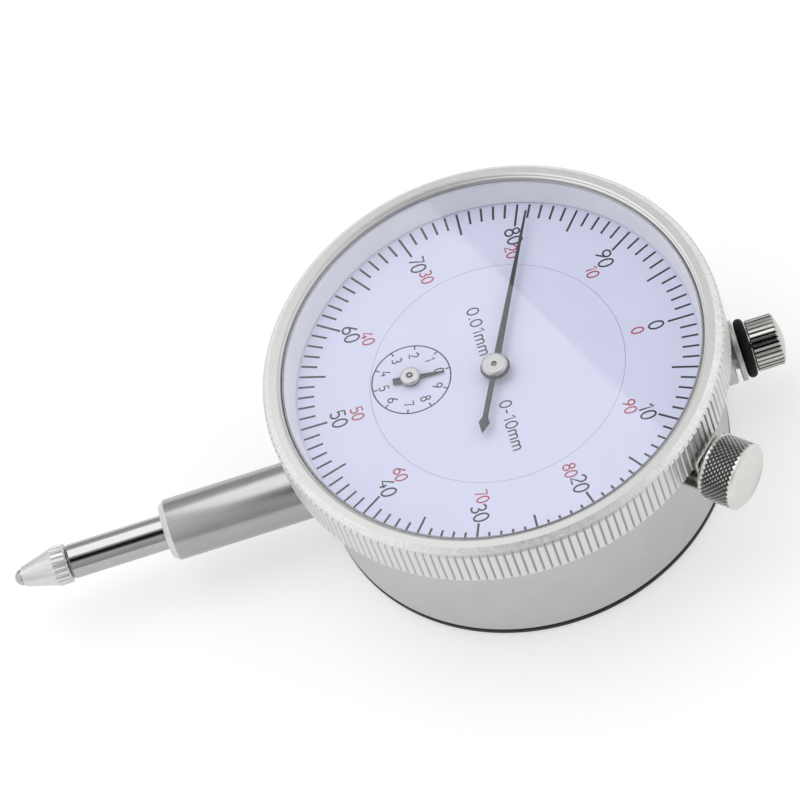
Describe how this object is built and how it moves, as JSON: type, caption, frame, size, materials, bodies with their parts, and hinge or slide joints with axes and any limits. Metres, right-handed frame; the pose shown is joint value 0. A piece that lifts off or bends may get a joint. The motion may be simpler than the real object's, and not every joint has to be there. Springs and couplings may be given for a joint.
{
  "type": "dial indicator",
  "caption": "Plunger dial indicator: a rack and gear train turns the main hand and a turn counter, with a turning bezel, clamp screw, lifting cap and round mounting stem",
  "frame": {"origin": "centre of the flat back cover, on its outer face", "axes": "+Z comes out of the dial, +Y goes to twelve o'clock along the spindle, the contact point is towards -Y"},
  "size_m": [0.0584, 0.102, 0.0243],
  "materials": {
    "case_metal": "satin",
    "bezel_metal": "machined, fine ribs",
    "stem_steel": "ground",
    "spindle_steel": "polished",
    "nickel": "bright nickel plate",
    "brass": "machined",
    "hand_metal": "dark lacquer",
    "spring_steel": "drawn wire",
    "cover_black": "moulded",
    "rubber": "matt",
    "dial_paint": "matt print",
    "reflector_paint": "satin",
    "crystal": "clear polished"
  },
  "bodies": {
    "body": {"back_cover": "cover_black", "back_screw_1": "nickel", "back_screw_2": "nickel", "back_screw_3": "nickel", "back_screw_4": "nickel", "bezel_wire": "spring_steel", "bridge_pillar_1": "brass", "bridge_pillar_2": "brass", "bridge_pillar_3": "brass", "bridge_screw_1": "stem_steel", "bridge_screw_2": "stem_steel", "bridge_screw_3": "stem_steel", "case": "case_metal", "center_bridge": "brass", "center_bush": "brass", "clamp_claw": "nickel", "counter_bush": "brass", "dial_center": "dial_paint", "guide_rail": "stem_steel", "hairspring": "spring_steel", "hairspring_stud": "brass", "movement_plate": "brass", "plate_pillar_1": "brass", "plate_pillar_2": "brass", "plate_pillar_3": "brass", "plate_screw_1": "stem_steel", "plate_screw_2": "stem_steel", "plate_screw_3": "stem_steel", "rail_screw_1": "stem_steel", "rail_screw_2": "stem_steel", "return_spring": "spring_steel", "spring_post": "stem_steel", "stem": "stem_steel", "stem_bush": "brass", "top_bush": "brass"},
    "bezel": {"bezel": "bezel_metal", "crystal": "crystal", "crystal_ring": "spindle_steel", "reflector_ring": "reflector_paint", "dial_ring": "dial_paint"},
    "spindle": {"spindle": "spindle_steel", "guide_pin": "stem_steel", "contact_point": "spindle_steel", "contact_ball": "spindle_steel", "lift_cap": "nickel", "cap_oring": "rubber", "cap_washer": "nickel"},
    "rack_pinion": {"rack_pinion": "brass", "first_wheel": "brass"},
    "center_arbor": {"center_pinion": "stem_steel", "main_hand": "hand_metal", "main_hand_hub": "nickel"},
    "counter_arbor": {"counter_arbor": "stem_steel", "counter_wheel": "brass", "hairspring_collet": "brass", "small_hand": "hand_metal", "small_hand_hub": "nickel"},
    "clamp_screw": {"clamp_screw": "nickel"}
  },
  "joints": [
    {"name": "spindle_slide", "type": "slide", "parent": "body", "child": "spindle", "axis": [0, 1, 0], "range_m": [0, 0.01], "stiffness_N_per_m": 40, "springref_m": -0.02, "deforming": ["return_spring"]},
    {"name": "bezel_turn", "type": "hinge", "parent": "body", "child": "bezel", "pos_m": [0, 0, 0.01986], "axis": [0, 0, 1], "continuous": true},
    {"name": "rack_pinion_turn", "type": "hinge", "parent": "body", "child": "rack_pinion", "pos_m": [-0.00284, 0.01057, 0.014], "axis": [0, 0, 1], "range_deg": [-1, 361]},
    {"name": "center_turn", "type": "hinge", "parent": "body", "child": "center_arbor", "pos_m": [0, 0, 0.014], "axis": [0, 0, 1], "range_deg": [-3601, 1]},
    {"name": "counter_turn", "type": "hinge", "parent": "body", "child": "counter_arbor", "pos_m": [-0.00289, -0.01055, 0.014], "axis": [0, 0, 1], "range_deg": [-1, 361], "deforming": ["hairspring"]},
    {"name": "clamp_turn", "type": "hinge", "parent": "body", "child": "clamp_screw", "pos_m": [0, 0, 0.01616], "axis": [0.682, 0.7314, 0], "range_deg": [0, 360]}
  ],
  "couplings": [
    {"joint": "rack_pinion_turn", "follows": "spindle_slide", "rad_per_m": 628.32},
    {"joint": "center_turn", "follows": "spindle_slide", "rad_per_m": -6283.2},
    {"joint": "counter_turn", "follows": "spindle_slide", "rad_per_m": 628.32}
  ]
}
